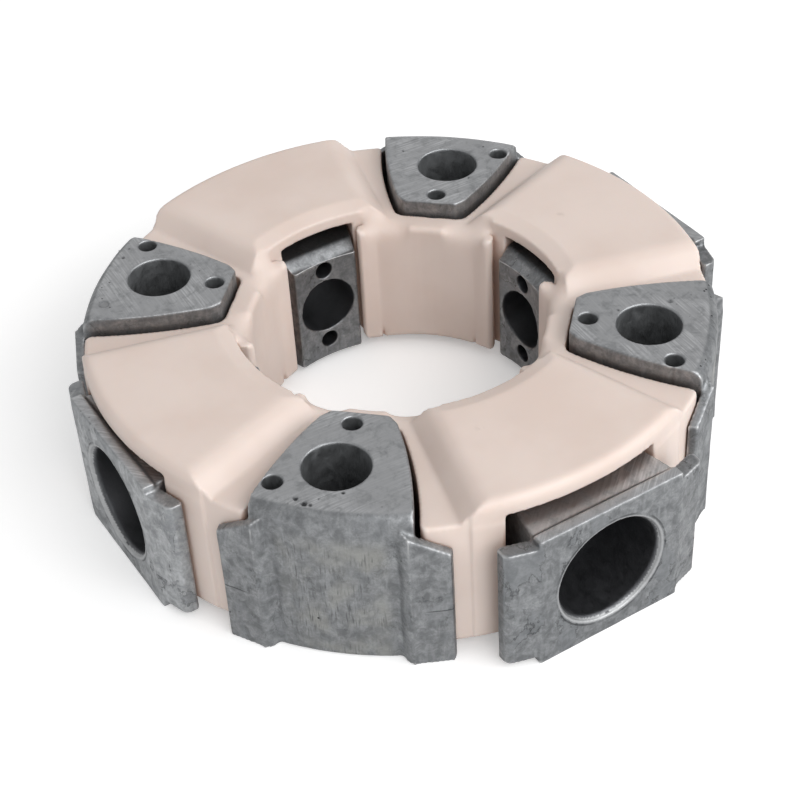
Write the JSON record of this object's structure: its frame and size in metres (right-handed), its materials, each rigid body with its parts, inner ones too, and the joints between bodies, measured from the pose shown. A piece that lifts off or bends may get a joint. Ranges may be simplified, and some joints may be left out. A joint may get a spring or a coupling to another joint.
{
  "type": "shaft coupling",
  "caption": "Flexible shaft coupling element: a moulded elastomer ring with die-cast aluminium inserts that bolt alternately to a flange and to a hub, so that torque passes through the ring.",
  "frame": {"origin": "on the ring's axis, in the plane of the lower ends of the inserts, on which the part stands", "axes": "+Z along the coupling's axis, up; +X and +Y through radial inserts 1 and 2; the axial inserts lie half way between"},
  "size_m": [0.1742, 0.1792, 0.0479],
  "materials": {
    "elastomer": "moulded, satin matt, pinkish cream",
    "cast_metal": "raw pressure die casting, with faced ends and drilled holes"
  },
  "bodies": {
    "root": {"elastomer_ring": "elastomer", "axial_insert_1": "cast_metal", "axial_insert_2": "cast_metal", "axial_insert_3": "cast_metal", "axial_insert_4": "cast_metal", "radial_insert_1": "cast_metal", "radial_insert_2": "cast_metal", "radial_insert_3": "cast_metal", "radial_insert_4": "cast_metal"}
  },
  "joints": []
}
